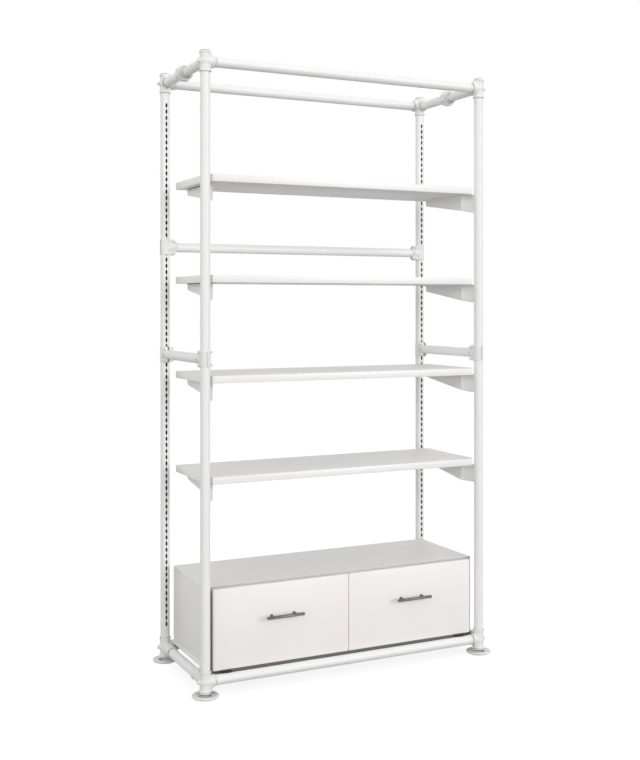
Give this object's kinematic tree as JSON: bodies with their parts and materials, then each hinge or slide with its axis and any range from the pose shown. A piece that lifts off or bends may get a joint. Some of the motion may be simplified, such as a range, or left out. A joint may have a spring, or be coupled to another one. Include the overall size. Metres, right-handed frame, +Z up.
{
  "type": "shelving unit",
  "caption": "Freestanding pipe-frame shelving unit with slotted uprights, bracket shelves and a base cabinet of sliding drawers.",
  "frame": {"origin": "on the floor, in the middle of the four feet", "axes": "+X to the right as seen from the front, +Y to the back, +Z up; the drawers open towards -Y"},
  "size_m": [1.326, 0.58, 2.424],
  "materials": {
    "powder_coated_steel": "satin white powder coat",
    "coated_castings": "satin white powder coat on cast fittings",
    "melamine_board": "matt white melamine-faced board",
    "drawer_board": "pale faced drawer board",
    "brushed_steel": "brushed steel",
    "zinc_steel": "bright zinc plating"
  },
  "bodies": {
    "root": {"bearer_screws": "zinc_steel", "bottom_corner_fittings": "coated_castings", "bottom_rail_back": "powder_coated_steel", "bottom_rail_front": "powder_coated_steel", "bottom_side_rails": "powder_coated_steel", "cabinet_back_board": "melamine_board", "cabinet_bearers": "powder_coated_steel", "cabinet_divider": "melamine_board", "cabinet_floor_board": "melamine_board", "cabinet_side_left": "melamine_board", "cabinet_side_right": "melamine_board", "cabinet_top_board": "melamine_board", "clamp_bolts": "coated_castings", "clamp_inner_halves": "coated_castings", "clamp_outer_halves": "coated_castings", "corner_screws": "coated_castings", "drawer_left_runner_fixed": "zinc_steel", "drawer_right_runner_fixed": "zinc_steel", "foot_flanges": "coated_castings", "mid_rail_back": "powder_coated_steel", "mid_side_rails": "powder_coated_steel", "shelf_1": "melamine_board", "shelf_2": "melamine_board", "shelf_3": "melamine_board", "shelf_4": "melamine_board", "shelf_bracket_left_1": "powder_coated_steel", "shelf_bracket_left_2": "powder_coated_steel", "shelf_bracket_left_3": "powder_coated_steel", "shelf_bracket_left_4": "powder_coated_steel", "shelf_bracket_right_1": "powder_coated_steel", "shelf_bracket_right_2": "powder_coated_steel", "shelf_bracket_right_3": "powder_coated_steel", "shelf_bracket_right_4": "powder_coated_steel", "top_corner_fittings": "coated_castings", "top_plugs": "coated_castings", "top_rail_back": "powder_coated_steel", "top_rail_front": "powder_coated_steel", "top_side_pipes": "powder_coated_steel", "union_ends": "powder_coated_steel", "union_nuts": "coated_castings", "upright_back_left": "powder_coated_steel", "upright_back_right": "powder_coated_steel", "upright_front_left": "powder_coated_steel", "upright_front_right": "powder_coated_steel"},
    "drawer_left": {"drawer_left_front": "melamine_board", "drawer_left_box_sides": "drawer_board", "drawer_left_box_back": "drawer_board", "drawer_left_box_inner_front": "drawer_board", "drawer_left_box_floor": "drawer_board", "drawer_left_handle": "brushed_steel", "drawer_left_runner_drawer": "zinc_steel"},
    "middle_runners_left": {"drawer_left_runner_middle": "zinc_steel"},
    "drawer_right": {"drawer_right_front": "melamine_board", "drawer_right_box_sides": "drawer_board", "drawer_right_box_back": "drawer_board", "drawer_right_box_inner_front": "drawer_board", "drawer_right_box_floor": "drawer_board", "drawer_right_handle": "brushed_steel", "drawer_right_runner_drawer": "zinc_steel"},
    "middle_runners_right": {"drawer_right_runner_middle": "zinc_steel"}
  },
  "joints": [
    {"name": "drawer_left_slide", "type": "slide", "parent": "root", "child": "drawer_left", "axis": [0, -1, 0], "range_m": [0, 0.33]},
    {"name": "middle_runners_left_slide", "type": "slide", "parent": "root", "child": "middle_runners_left", "axis": [0, -1, 0], "range_m": [0, 0.165]},
    {"name": "drawer_right_slide", "type": "slide", "parent": "root", "child": "drawer_right", "axis": [0, -1, 0], "range_m": [0, 0.33]},
    {"name": "middle_runners_right_slide", "type": "slide", "parent": "root", "child": "middle_runners_right", "axis": [0, -1, 0], "range_m": [0, 0.165]}
  ],
  "couplings": [
    {"joint": "middle_runners_left_slide", "follows": "drawer_left_slide", "ratio": 0.5},
    {"joint": "middle_runners_right_slide", "follows": "drawer_right_slide", "ratio": 0.5}
  ]
}
